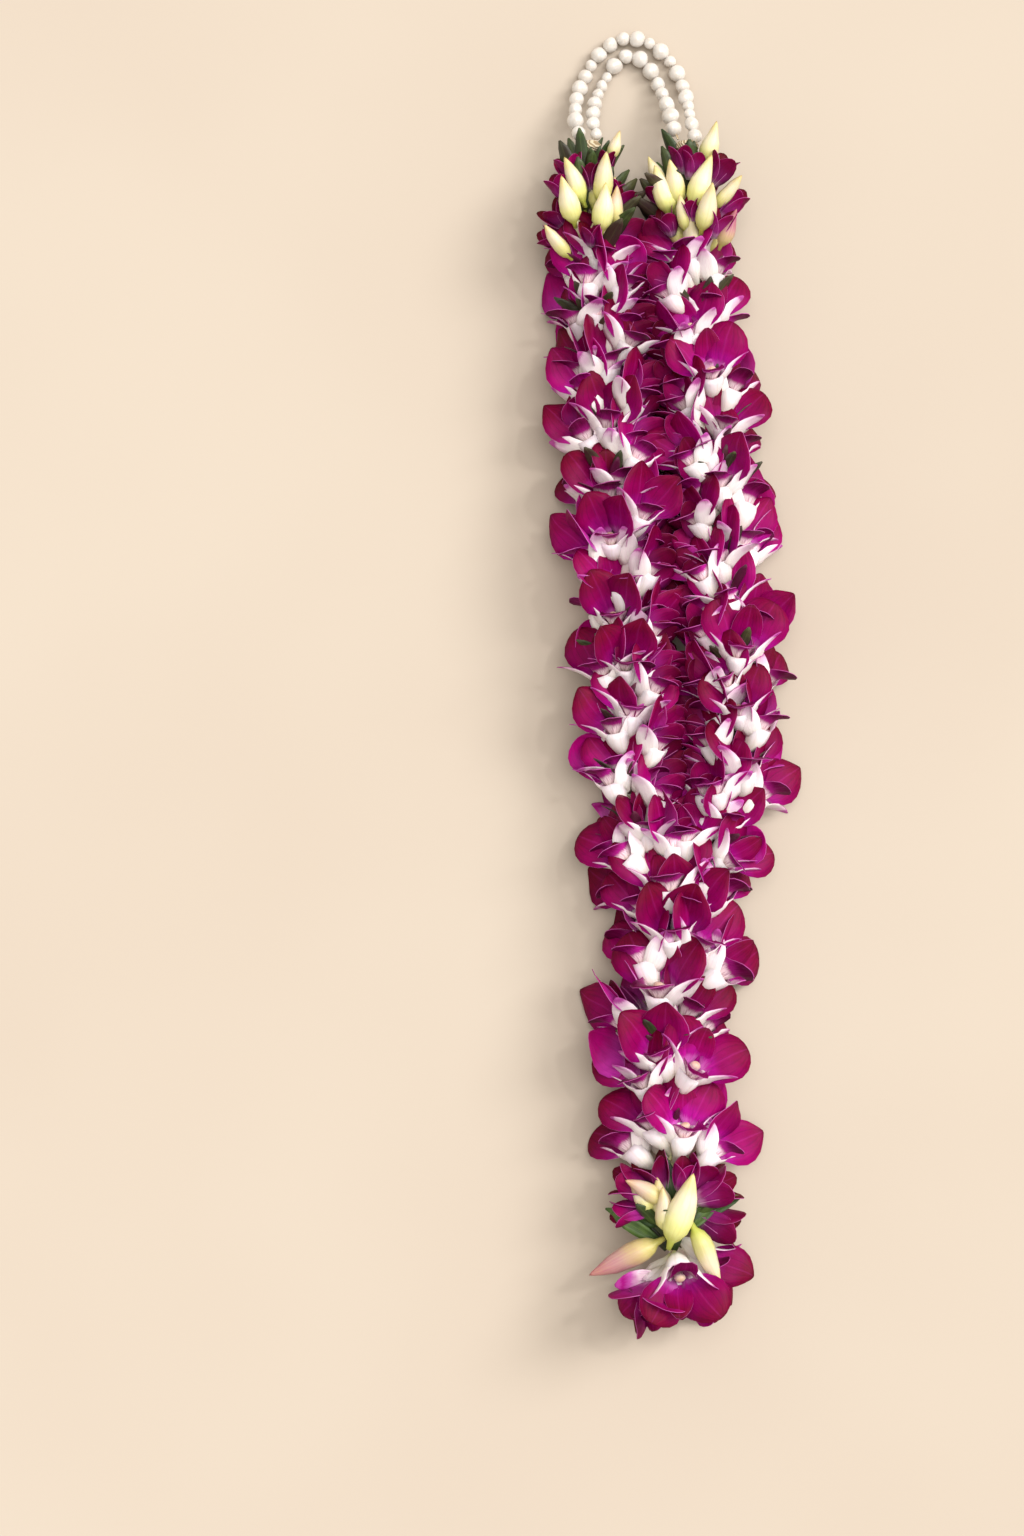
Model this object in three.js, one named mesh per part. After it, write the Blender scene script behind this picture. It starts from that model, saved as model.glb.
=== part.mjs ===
// A two-strand orchid wedding garland, lying on a flat surface.
//
// Millimetres. +Y runs from the tail to the pearl neck loop, +X across the strands, +Z up from the surface.
// Each strand is a cord with whorls of flowers tied round it like nested cups, their petals towards the neck.
// The two strands meet in one tail, which ends in a whorl that faces the other way.
import * as THREE from 'three';

// ---- Driving dimensions ----
const AXIS_HEIGHT = 27;          // the cords' height above the surface
const CORD_RADIUS = 1.5;
const GAP = 0.3;                 // between pieces that touch
const PEARL_RADIUS = 4.4;
const PEARL_THREAD_RADIUS = 0.8;
const PEARL_REST_HEIGHT = 4.7;   // the loop's crown lies on the surface
const LOOP_SPREAD = 5.2;         // the two pearl strings leave a knot this far each side of its middle

const STRAND_PITCH = 34;         // from one flower whorl to the next
const TAIL_PITCH = 33;
const STRAND_TIERS = 11;
const STRAND_REACH = 33;         // a strand's flower whorl, from the cord to the petal tips
const STRAND_RISE = 33;
const TAIL_REACH = 45;
const TAIL_RISE = 36;

// ---- Routes, as [x, y] in plan ----
const LEFT_ROUTE = [[-49, 316], [-48, 264], [-43.5, 204], [-40, 160], [-36, 110], [-32.5, 60], [-30, 20],
  [-28, -30], [-26, -64], [-21, -92], [-8, -121]];
const RIGHT_ROUTE = [[9, 316], [11.5, 264], [19, 204], [25, 160], [30.5, 110], [35, 60], [37.5, 20],
  [39.5, -30], [38, -60], [31, -88], [10, -121]];
const TAIL_ROUTE = [[1, -141], [0, -170], [-2, -205], [-2, -240], [0, -275], [0, -310], [2, -362]];
const JUNCTION = [1, -131];

// The pearl strings in plan, from the left strand's knot over the loop's crown to the right strand's knot.
const OUTER_LOOP = [[-54.2, 323.6], [-57, 334], [-57, 345], [-54.6, 356], [-50.6, 366], [-44.8, 375.4],
  [-37.4, 383], [-28.6, 387.6], [-19, 387.4], [-10, 383.6], [-2.4, 377], [3.2, 368.6], [7.4, 358.6],
  [10, 347.6], [11.6, 336], [14.2, 323.6]];
const INNER_LOOP = [[-43.8, 323.6], [-46.4, 332], [-46.6, 342], [-44, 352], [-39.8, 361.4], [-34.6, 370],
  [-27.6, 377], [-19.4, 376.4], [-12.6, 369.6], [-7.6, 360.6], [-4, 351], [-1.2, 341.4], [0.8, 332],
  [3.8, 323.6]];

// ---- Colours and finishes ----
const material = (color, roughness) => new THREE.MeshStandardMaterial({ color, roughness, metalness: 0 });
const PETAL = material(0x8a0f63, 0.55);
const BUD = material(0xd9d68c, 0.5);
const LEAF = material(0x2f4a2b, 0.6);
const PEARL = material(0xf3efe8, 0.25);
const CORD = material(0xe9e2d2, 0.9);

// ---- Shapes ----
const lerp = THREE.MathUtils.lerp;

// One closed ring of flowers, buds or leaves round a cord that runs along +Y. peak and valley are the same
// closed outline, as [radius, distance along the cord]: through a petal's middle, and between two petals.
function whorlShape({ petals, peak, valley, left, right, down, turn = 0 }) {
  const around = petals * 4;
  const outline = peak.length;
  const points = [];
  for (let i = 0; i < around; i += 1) {
    const angle = ((i / around) * 2 + turn / petals - 0.5) * Math.PI;
    const crest = (1 + Math.cos((i / around) * petals * 2 * Math.PI)) / 2;
    for (let j = 0; j < outline; j += 1) {
      const radius = lerp(valley[j][0], peak[j][0], crest);
      const along = lerp(valley[j][1], peak[j][1], crest);
      const across = radius * Math.cos(angle);
      const height = radius * Math.sin(angle);
      points.push(across * (across < 0 ? left : right), along, height < 0 ? height * down : height);
    }
  }
  const faces = [];
  for (let i = 0; i < around; i += 1) {
    const next = (i + 1) % around;
    for (let j = 0; j < outline; j += 1) {
      const after = (j + 1) % outline;
      const [a, b, c, d] = [i * outline + j, next * outline + j, next * outline + after, i * outline + after];
      faces.push(a, c, b, a, d, c);
    }
  }
  return closedShape(points, faces);
}

function closedShape(points, faces) {
  const geometry = new THREE.BufferGeometry();
  geometry.setAttribute('position', new THREE.Float32BufferAttribute(points, 3));
  geometry.setIndex(faces);
  geometry.computeVertexNormals();
  return geometry;
}

// A round bar along a curve. radii gives its radius at each station, so a bead string is one bar that swells.
function barShape(curve, radii, sides = 8) {
  const points = [];
  radii.forEach((radius, i) => {
    const share = i / (radii.length - 1);
    const centre = curve.getPointAt(share);
    const ahead = curve.getTangentAt(share);
    const across = new THREE.Vector3(-ahead.y, ahead.x, 0).normalize();
    const above = new THREE.Vector3().crossVectors(ahead, across);
    for (let k = 0; k < sides; k += 1) {
      const angle = (k / sides) * 2 * Math.PI;
      const rim = centre.clone()
        .addScaledVector(across, radius * Math.cos(angle))
        .addScaledVector(above, radius * Math.sin(angle));
      points.push(rim.x, rim.y, rim.z);
    }
  });
  const faces = [];
  const last = (radii.length - 1) * sides;
  for (let k = 0; k < sides; k += 1) {
    const next = (k + 1) % sides;
    for (let row = 0; row < last; row += sides) {
      faces.push(row + k, row + next, row + sides + next, row + k, row + sides + next, row + sides + k);
    }
    if (k > 0 && k < sides - 1) {
      faces.push(0, k + 1, k, last, last + k, last + k + 1);
    }
  }
  return closedShape(points, faces);
}

const flatCurve = (route) => new THREE.CatmullRomCurve3(
  route.map(([x, y]) => new THREE.Vector3(x, y, AXIS_HEIGHT)),
);

function cord(name, route) {
  const curve = flatCurve(route);
  const stations = Math.ceil(curve.getLength() / 14);
  const mesh = new THREE.Mesh(barShape(curve, Array(stations + 1).fill(CORD_RADIUS)), CORD);
  mesh.name = name;
  return mesh;
}

// A wound knot: a barrel whose axis lies along the strand.
function knot(name, [x, y], radius, length) {
  const half = length / 2;
  const profile = [[0, -half], [radius * 0.7, -half], [radius, -half * 0.4], [radius, half * 0.4],
    [radius * 0.7, half], [0, half]];
  const turned = new THREE.LatheGeometry(profile.map(([r, t]) => new THREE.Vector2(r, t)), 12);
  const mesh = new THREE.Mesh(turned, CORD);
  mesh.name = name;
  mesh.position.set(x, y, AXIS_HEIGHT);
  return mesh;
}

// The loop leaves the knots at cord height and comes down to lie on the surface.
function loopHeight(y) {
  const settled = THREE.MathUtils.smoothstep(y, 322, 368);
  return lerp(AXIS_HEIGHT, PEARL_REST_HEIGHT, settled);
}

function pearlString(name, loop) {
  const curve = new THREE.CatmullRomCurve3(loop.map(([x, y]) => new THREE.Vector3(x, y, loopHeight(y))));
  curve.arcLengthDivisions = 800;
  const pearls = Math.round(curve.getLength() / (PEARL_RADIUS * 2 + 0.3));
  const radii = [PEARL_THREAD_RADIUS];
  for (let i = 0; i < pearls; i += 1) {
    radii.push(PEARL_RADIUS * Math.SQRT1_2, PEARL_RADIUS, PEARL_RADIUS * Math.SQRT1_2, PEARL_THREAD_RADIUS);
  }
  const mesh = new THREE.Mesh(barShape(curve, radii), PEARL);
  mesh.name = name;
  return mesh;
}

// ---- Outlines of the whorls, as [share of the reach, distance along the cord] ----
const HOLE = 0.15;
const BORE_MIDDLE = 6;           // how far up its cord a whorl's hole is centred
const FLOWER = {
  peak: [[HOLE, 0], [0.5, 2], [1, 22], [0.95, 32], [HOLE, 14]],
  valley: [[HOLE, 0], [0.46, 3], [0.8, 17], [0.72, 26], [HOLE, 14]],
};
const JUNCTION_FLOWERS = {
  peak: [[0.16, 0], [0.4, 1], [1, 34], [0.9, 40], [0.16, 3]],
  valley: [[0.16, 0], [0.38, 2], [0.8, 27], [0.7, 32], [0.16, 3]],
};
const END_FLOWERS = {
  peak: [[HOLE, 0], [0.5, 2], [1, 36], [0.8, 48], [HOLE, 26]],
  valley: [[HOLE, 0], [0.5, 3], [0.8, 28], [0.6, 38], [HOLE, 26]],
};
const BUDS = {
  peak: [[HOLE, 0], [0.55, 2], [1, 40], [0.55, 20], [HOLE, 12]],
  valley: [[HOLE, 0], [0.45, 3], [0.6, 13], [0.45, 15], [HOLE, 12]],
};
const LEAVES = {
  peak: [[HOLE, 0], [0.35, 1], [1, 28], [0.34, 9], [HOLE, 6]],
  valley: [[HOLE, 0], [0.3, 2], [0.42, 8], [0.3, 9], [HOLE, 6]],
};
const COLLAR = {
  peak: [[0.2, 0], [0.55, 2], [1, 50], [0.62, 26], [0.2, 8]],
  valley: [[0.2, 0], [0.52, 3], [0.78, 20], [0.6, 21], [0.2, 8]],
};

// A whorl on a curve. along is the distance from the curve's neck end, side its reach, alike on both sides or
// as [left, right], and flip turns its petals to the tail.
function whorl(name, curve, along, outline, finish, { petals, side, up, turn = 0, flip = false }) {
  const scaled = (list) => list.map(([r, t]) => [r * up, t]);
  const [left, right] = [side].flat();
  const shape = whorlShape({
    petals,
    turn,
    peak: scaled(outline.peak),
    valley: scaled(outline.valley),
    left: left / up,
    right: (right ?? left) / up,
    down: Math.min(1, AXIS_HEIGHT / up),
  });
  const share = along / curve.getLength();
  const ahead = curve.getTangentAt(Math.max(0, share - BORE_MIDDLE / curve.getLength()));
  const mesh = new THREE.Mesh(shape, finish);
  mesh.name = name;
  mesh.position.copy(curve.getPointAt(share));
  // The curves run from the neck to the tail, so the petals point backwards along them.
  mesh.rotation.z = Math.atan2(ahead.x, -ahead.y) + (flip ? Math.PI : 0);
  return mesh;
}

const numbered = (stem, i) => `${stem}_${String(i + 1).padStart(2, '0')}`;

// ---- One strand: cord, knot, leaf collar, buds, then flowers with a few leaves between them ----
function strand(side, route, otherRoute, turnFirst) {
  const curve = flatCurve(route);
  const other = flatCurve(otherRoute);
  const group = new THREE.Group();
  group.add(cord(`${side}_cord`, route));
  group.add(knot(`${side}_neck_knot`, [route[0][0], route[0][1] + 3 + GAP], 7, 6));
  group.add(whorl(`${side}_leaf_collar`, curve, 27, COLLAR, LEAF, { petals: 7, side: 15.5, up: 15.5 }));
  group.add(whorl(`${side}_upper_buds`, curve, 44, BUDS, BUD, { petals: 6, side: 24, up: 23, turn: 1 }));
  group.add(whorl(`${side}_lower_buds`, curve, 63, BUDS, BUD, { petals: 7, side: 27.5, up: 27 }));
  for (let i = 0; i < STRAND_TIERS; i += 1) {
    const along = 84 + i * STRAND_PITCH;
    const inward = neighbourReach(curve, other, along);
    group.add(whorl(numbered(`${side}_flowers`, i), curve, along, FLOWER, PETAL, {
      petals: 6,
      side: side === 'left' ? [STRAND_REACH, inward] : [inward, STRAND_REACH],
      up: STRAND_RISE,
      turn: (i + turnFirst) % 2,
    }));
    if (i % 3 === 1 && i < 9) {
      const between = along - STRAND_PITCH * 0.54;
      group.add(whorl(numbered(`${side}_leaves`, (i - 1) / 3), curve, between, LEAVES, LEAF, {
        petals: 5,
        side: STRAND_REACH * 0.92,
        up: STRAND_RISE * 0.92,
        turn: 1,
      }));
    }
  }
  return group;
}

// The strands lie side by side, so a whorl's petals reach halfway to the other strand's cord.
function neighbourReach(curve, other, along) {
  const place = curve.getPointAt((along - 20) / curve.getLength());
  let nearest = Infinity;
  for (let i = 0; i <= 200; i += 1) {
    nearest = Math.min(nearest, other.getPoint(i / 200).distanceTo(place));
  }
  return Math.min(STRAND_REACH, nearest / 2 - 0.6);
}

// ---- The tail: the joined strands' flowers, then buds and leaves, then flowers that face the other way ----
function tail() {
  const curve = flatCurve(TAIL_ROUTE);
  const group = new THREE.Group();
  group.add(cord('tail_cord', TAIL_ROUTE));
  [56, 49, TAIL_REACH, TAIL_REACH, TAIL_REACH].forEach((reach, i) => {
    const outline = i === 0 ? JUNCTION_FLOWERS : FLOWER;
    group.add(whorl(numbered('tail_flowers', i), curve, 2 + i * TAIL_PITCH, outline, PETAL, {
      petals: 7,
      side: reach,
      up: TAIL_RISE,
      turn: i % 2,
    }));
  });
  group.add(whorl('tail_leaves', curve, 83.5, LEAVES, LEAF, { petals: 5, side: 37.5, up: 30.5, turn: 1 }));
  group.add(whorl('tail_buds', curve, 171, BUDS, BUD, { petals: 6, side: 34, up: 28 }));
  group.add(whorl('tail_leaf_collar', curve, 192, LEAVES, LEAF, { petals: 6, side: 32, up: 26, turn: 1 }));
  group.add(whorl('tail_end_flowers', curve, 201, END_FLOWERS, PETAL, {
    petals: 6,
    side: TAIL_REACH - 3,
    up: TAIL_RISE - 2,
    flip: true,
  }));
  const [x, y] = TAIL_ROUTE.at(-1);
  group.add(knot('tail_knot', [x, y - 3.5 - GAP], 3.5, 7));
  return group;
}

const garland = new THREE.Group();
garland.add(strand('left', LEFT_ROUTE, RIGHT_ROUTE, 0));
garland.add(strand('right', RIGHT_ROUTE, LEFT_ROUTE, 1));
garland.add(knot('junction_knot', JUNCTION, 5, 12));
garland.add(tail());
garland.add(pearlString('outer_pearl_string', OUTER_LOOP));
garland.add(pearlString('inner_pearl_string', INNER_LOOP));

// The frame's origin is under the middle of the whole garland.
const bounds = new THREE.Box3().setFromObject(garland, true);
const middle = bounds.getCenter(new THREE.Vector3());
garland.position.set(-middle.x, -middle.y, -bounds.min.z);

export default garland;
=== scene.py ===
import math
import random

import bmesh
import bpy
from mathutils import Matrix, Vector, noise


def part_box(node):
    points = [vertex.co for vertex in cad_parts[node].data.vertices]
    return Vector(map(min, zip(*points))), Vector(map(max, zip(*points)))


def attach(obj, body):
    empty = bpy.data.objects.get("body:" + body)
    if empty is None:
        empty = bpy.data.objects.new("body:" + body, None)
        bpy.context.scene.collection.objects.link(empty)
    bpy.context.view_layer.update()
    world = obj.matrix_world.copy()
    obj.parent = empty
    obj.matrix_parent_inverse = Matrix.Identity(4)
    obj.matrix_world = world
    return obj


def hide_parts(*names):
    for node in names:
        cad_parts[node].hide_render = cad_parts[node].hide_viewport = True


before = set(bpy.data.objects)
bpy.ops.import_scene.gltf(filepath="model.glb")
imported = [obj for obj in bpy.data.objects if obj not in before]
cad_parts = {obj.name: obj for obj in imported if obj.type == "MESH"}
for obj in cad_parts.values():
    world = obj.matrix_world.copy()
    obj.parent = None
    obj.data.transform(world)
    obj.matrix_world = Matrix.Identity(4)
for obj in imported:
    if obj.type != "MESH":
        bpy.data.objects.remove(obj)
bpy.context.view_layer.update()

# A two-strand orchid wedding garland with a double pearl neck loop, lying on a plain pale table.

MM = 0.001
COLUMNS = 4               # faces across a petal, sepal, lip or leaf
STRAND_TIERS = 11
FIRST_TIER = 84           # mm down a strand from its neck end
TIER_SPACING = 34         # mm from one tier of flowers to the next
TAIL_SPACING = 34.5
EASE_BELOW = 0.006        # what is nearer the table than this, in metres, is eased to stay above LOWEST
LOWEST = 0.0004
EASE_ABOVE = 0.062        # what stands higher than this is pressed down to stay below HIGHEST
HIGHEST = 0.073
BEAD_RADIUS = 4.4
BEAD_SPACING = 8.4
BEAD_CLEARANCE = 0.0002   # the lowest that a bead comes to the table, in metres
THREAD_STEPS = 70

# ---- Where things are: the routes of the cords and pearl threads, in mm, which SHIFT moves into place ----
AXIS_HEIGHT = 27
LEFT_ROUTE = [(-49, 316), (-48, 264), (-43.5, 204), (-40, 160), (-36, 110), (-32.5, 60), (-30, 20),
              (-28, -30), (-26, -64), (-21, -92), (-8, -121)]
RIGHT_ROUTE = [(9, 316), (11.5, 264), (19, 204), (25, 160), (30.5, 110), (35, 60), (37.5, 20), (39.5, -30),
               (38, -60), (31, -88), (10, -121)]
TAIL_ROUTE = [(1, -141), (0, -170), (-2, -205), (-2, -240), (0, -275), (0, -310), (2, -362)]
OUTER_LOOP = [(-54.2, 323.6), (-57, 334), (-57, 345), (-54.6, 356), (-50.6, 366), (-44.8, 375.4),
              (-37.4, 383), (-28.6, 387.6), (-19, 387.4), (-10, 383.6), (-2.4, 377), (3.2, 368.6),
              (7.4, 358.6), (10, 347.6), (11.6, 336), (14.2, 323.6)]
INNER_LOOP = [(-43.8, 323.6), (-46.4, 332), (-46.6, 342), (-44, 352), (-39.8, 361.4), (-34.6, 370),
              (-27.6, 377), (-19.4, 376.4), (-12.6, 369.6), (-7.6, 360.6), (-4, 351), (-1.2, 341.4),
              (0.8, 332), (3.8, 323.6)]
LOOP_LEAVES_FLOWERS = 322   # how far up the routes the pearl threads start down to the table
LOOP_DESCENT = 46           # and how far on they have reached it
LOOP_REST_HEIGHT = 4.7
KNOT_ON_ROUTES = (-0.049, 0.3193)   # the left neck knot's middle on the routes, in metres

low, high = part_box("left_neck_knot")
SHIFT = Vector(((low[0] + high[0]) / 2 - KNOT_ON_ROUTES[0], (low[1] + high[1]) / 2 - KNOT_ON_ROUTES[1], 0))


def loop_height(y):
    """A pearl thread leaves the flowers at cord height and comes down to lie on the table."""
    share = min(1, max(0, (y - LOOP_LEAVES_FLOWERS) / LOOP_DESCENT))
    settled = share * share * (3 - 2 * share)
    return AXIS_HEIGHT + (LOOP_REST_HEIGHT - AXIS_HEIGHT) * settled


class Walk:
    """A smooth line through points, walked by distance."""

    def __init__(self, points):
        ends = [2 * points[0] - points[1], *points, 2 * points[-1] - points[-2]]
        self.points = []
        for a, b, c, d in zip(ends, ends[1:], ends[2:], ends[3:]):
            for i in range(8):
                t = i / 8
                self.points.append(0.5 * (2 * b + (c - a) * t + (2 * a - 5 * b + 4 * c - d) * t * t
                                          + (3 * b - a - 3 * c + d) * t * t * t))
        self.points.append(points[-1].copy())
        self.marks = [0.0]
        for a, b in zip(self.points, self.points[1:]):
            self.marks.append(self.marks[-1] + (b - a).length)
        self.length = self.marks[-1]

    def at(self, distance):
        """(point, direction) that far along."""
        distance = min(max(distance, 0), self.length)
        for i in range(len(self.points) - 1):
            if distance <= self.marks[i + 1] or i == len(self.points) - 2:
                step = self.points[i + 1] - self.points[i]
                share = (distance - self.marks[i]) / step.length
                return self.points[i] + step * share, step.normalized()


def table_route(route):
    return Walk([Vector((x, y, AXIS_HEIGHT)) * MM + SHIFT for x, y in route])


def loop_route(route):
    return Walk([Vector((x, y, loop_height(y))) * MM + SHIFT for x, y in route])


# ---- The camera, which looks straight down ----
eye = bpy.data.cameras.new("camera")
eye.lens = 85
eye.sensor_width = 36
camera = bpy.data.objects.new("camera", eye)
camera.location = (-0.0925, -0.0512, 2.185)
bpy.context.collection.objects.link(camera)
bpy.context.scene.camera = camera

# ---- Finishes ----
WHITE = (1, 1, 1, 1)
BLACK = (0, 0, 0, 1)
WAXY_VEIN = (0.93, 0.9, 0.86, 1)
PETAL_FLESH = (1, 0.85, 0.85)   # how far red, green and blue light travel inside a petal


def paint(red, green, blue):
    """A colour as a painter reads it off a chart, 0 to 255, as light."""
    return tuple(((c / 255 + 0.055) / 1.055) ** 2.4 if c > 10 else c / 255 / 12.92
                 for c in (red, green, blue)) + (1,)


class Finish:
    """A material under construction, with short ways to add its nodes."""

    def __init__(self, name, roughness, **uniform):
        self.material = bpy.data.materials.new(name)
        self.material.use_nodes = True
        self.tree = self.material.node_tree
        self.shader = self.tree.nodes["Principled BSDF"]
        self.shader.inputs["Roughness"].default_value = roughness
        for socket, value in uniform.items():
            self.shader.inputs[socket.replace("_", " ")].default_value = value

    def add(self, kind, inputs, **settings):
        made = self.tree.nodes.new("ShaderNode" + kind)
        for key, value in settings.items():
            setattr(made, key, value)
        for key, value in inputs.items():
            if isinstance(value, bpy.types.NodeSocket):
                self.tree.links.new(value, made.inputs[key])
            else:
                made.inputs[key].default_value = value
        return made

    def sum(self, operation, a, b=0.0, c=0.0):
        return self.add("Math", {0: a, 1: b, 2: c}, operation=operation).outputs[0]

    def place(self):
        return self.add("TexCoord", {}).outputs["Object"]

    def span(self):
        """(across, along) of a blade or a turned shape, each 0 to 1."""
        where = self.add("SeparateXYZ", {"Vector": self.add("TexCoord", {}).outputs["UV"]})
        return where.outputs["X"], where.outputs["Y"]

    def mottle(self, scale, detail=2.0, vector=None):
        vector = vector or self.place()
        return self.add("TexNoise", {"Vector": vector, "Scale": scale, "Detail": detail}).outputs["Fac"]

    def streaks(self, fineness, length):
        """Fine lines that run from foot to tip and close up where the shape narrows."""
        across, along = self.span()
        vector = self.add("CombineXYZ", {"X": self.sum("MULTIPLY", across, fineness),
                                         "Y": self.sum("MULTIPLY", along, length)}).outputs[0]
        return self.mottle(1.0, 3.0, vector)

    def ramp(self, fac, stops):
        made = self.add("ValToRGB", {"Fac": fac})
        made.color_ramp.interpolation = "EASE"
        while len(made.color_ramp.elements) < len(stops):
            made.color_ramp.elements.new(1.0)
        for element, (position, colour) in zip(made.color_ramp.elements, stops):
            element.position = position
            element.color = colour
        return made.outputs["Color"]

    def mix(self, fac, a, b, kind="MIX"):
        made = self.add("Mix", {}, data_type="RGBA", blend_type=kind)
        for socket, value in ((0, fac), (6, a), (7, b)):
            if isinstance(value, bpy.types.NodeSocket):
                self.tree.links.new(value, made.inputs[socket])
            else:
                made.inputs[socket].default_value = value
        return made.outputs[2]

    def own(self, name):
        """A number that belongs to each flower, bud or leaf."""
        return self.add("Attribute", {}, attribute_name=name).outputs["Fac"]

    def colour(self, socket):
        self.tree.links.new(socket, self.shader.inputs["Base Color"])

    def bump(self, height, strength, distance):
        made = self.add("Bump", {"Height": height, "Strength": strength, "Distance": distance})
        self.tree.links.new(made.outputs["Normal"], self.shader.inputs["Normal"])


def petal_finish(name, stops, vein, midrib=BLACK, wander=0.22, roughness=0.5, liveliness=0.3, flush=0.0,
                 glow=0.0):
    """Orchid skin: it deepens from foot to tip, with fanned veins and a tone of its own. Any midrib but black
    adds a lighter line down the middle."""
    skin = Finish(name, roughness, Specular_IOR_Level=0.08, Subsurface_Weight=glow,
                  Subsurface_Radius=PETAL_FLESH, Subsurface_Scale=0.006)
    across, along = skin.span()
    edge = skin.sum("ABSOLUTE", skin.sum("SUBTRACT", across, 0.5))
    cloud = skin.mottle(85.0)
    streak = skin.streaks(24.0, 2.2)
    reach = skin.sum("MULTIPLY_ADD", skin.sum("SUBTRACT", cloud, 0.5), wander, along)
    reach = skin.sum("MULTIPLY_ADD", skin.sum("SUBTRACT", streak, 0.5), 0.22, reach)
    reach = skin.sum("MULTIPLY_ADD", skin.own("blush"), flush, reach)
    skin_colour = skin.ramp(reach, stops)
    lines = skin.ramp(streak, [(0.36, vein), (0.5, WHITE), (0.66, WHITE)])
    skin_colour = skin.mix(1.0, skin_colour, lines, "MULTIPLY")
    rib = skin.ramp(edge, [(0.0, midrib), (0.045, BLACK)])
    skin_colour = skin.mix(0.5, skin_colour, rib, "ADD")
    light = skin.sum("MULTIPLY_ADD", skin.own("tone"), liveliness, 1.0)
    shading = skin.sum("MULTIPLY_ADD", skin.mottle(95.0), liveliness * 1.6, 1 - liveliness * 0.8)
    light = skin.sum("MULTIPLY", light, shading)
    hue = skin.sum("MULTIPLY_ADD", skin.own("tone"), -0.01, 0.5)
    toned = skin.add("HueSaturation", {"Color": skin_colour, "Value": light, "Hue": hue})
    skin.colour(toned.outputs["Color"])
    skin.bump(skin.sum("ADD", streak, skin.sum("MULTIPLY", skin.mottle(700.0), 0.4)), 0.35, 0.0005)
    return skin.material


PETAL_FRONT = petal_finish("petal_front", [
    (0.0, paint(232, 216, 228)), (0.1, paint(200, 104, 184)), (0.24, paint(154, 10, 120)),
    (0.44, paint(132, 0, 78)), (0.72, paint(114, 0, 50)), (1.0, paint(80, 0, 28))],
    vein=(0.74, 0.6, 0.72, 1), midrib=(0.1, 0.008, 0.07, 1), glow=0.1)
PETAL_BACK = petal_finish("petal_back", [
    (0.0, paint(234, 224, 230)), (0.12, paint(206, 146, 196)), (0.3, paint(164, 40, 138)),
    (0.7, paint(138, 0, 82)), (1.0, paint(114, 0, 56))],
    vein=(0.8, 0.66, 0.78, 1), roughness=0.6, glow=0.1)
SEPAL_FRONT = petal_finish("sepal_front", [
    (0.0, paint(242, 232, 234)), (0.44, paint(240, 214, 228)), (0.66, paint(186, 72, 166)),
    (0.84, paint(154, 12, 118)), (1.0, paint(170, 50, 144))],
    vein=(0.86, 0.64, 0.84, 1), wander=0.5, flush=0.45, liveliness=0.1, glow=0.15)
SEPAL_BACK = petal_finish("sepal_back", [
    (0.0, paint(245, 240, 228)), (0.6, paint(245, 232, 236)), (0.84, paint(236, 196, 224)),
    (1.0, paint(182, 70, 158))],
    vein=(0.96, 0.9, 0.95, 1), wander=0.5, liveliness=0.03, flush=0.5, glow=0.15)
# The edge faces of petals, sepals and lip are painted paler than the face: a painted rim highlight.
PETAL_EDGE_HIGHLIGHT = petal_finish("petal_edge_highlight", [
    (0.0, paint(230, 212, 222)), (0.3, paint(190, 104, 168)), (1.0, paint(176, 78, 150))],
    vein=(0.9, 0.8, 0.9, 1), liveliness=0.1)
LIP = petal_finish("lip", [
    (0.0, paint(238, 234, 204)), (0.3, paint(236, 210, 218)), (0.42, paint(158, 28, 122)),
    (0.64, paint(114, 0, 74)), (1.0, paint(88, 0, 52))],
    vein=(0.6, 0.44, 0.55, 1), midrib=(0.08, 0.008, 0.05, 1), wander=0.16)


def turned_finish(name, stops, blush, roughness, **uniform):
    """Waxy skin of a bell or a bud, from foot to tip, flushed by its own amount."""
    skin = Finish(name, roughness, **uniform)
    along = skin.span()[1]
    cloud = skin.mottle(110.0)
    streak = skin.streaks(30.0, 1.5)
    reach = skin.sum("MULTIPLY_ADD", skin.sum("SUBTRACT", cloud, 0.5), 0.2, along)
    body = skin.ramp(reach, stops)
    body = skin.mix(1.0, body, skin.ramp(streak, [(0.36, WAXY_VEIN), (0.56, WHITE)]), "MULTIPLY")
    towards_tip = skin.ramp(reach, [(0.2, (0.35, 0.35, 0.35, 1)), (0.8, WHITE)])
    flushed = skin.sum("MULTIPLY", skin.own("blush"), towards_tip)
    flushed = skin.sum("MULTIPLY", flushed, skin.sum("MULTIPLY_ADD", streak, 0.9, 0.5))
    flushed.node.use_clamp = True
    body = skin.mix(flushed, body, blush)
    light = skin.sum("MULTIPLY_ADD", skin.own("tone"), 0.1, 1.0)
    toned = skin.add("HueSaturation", {"Color": body, "Value": light})
    skin.colour(toned.outputs["Color"])
    skin.bump(skin.sum("ADD", streak, skin.sum("MULTIPLY", skin.mottle(500.0), 0.3)), 0.25, 0.0005)
    return skin.material


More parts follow.
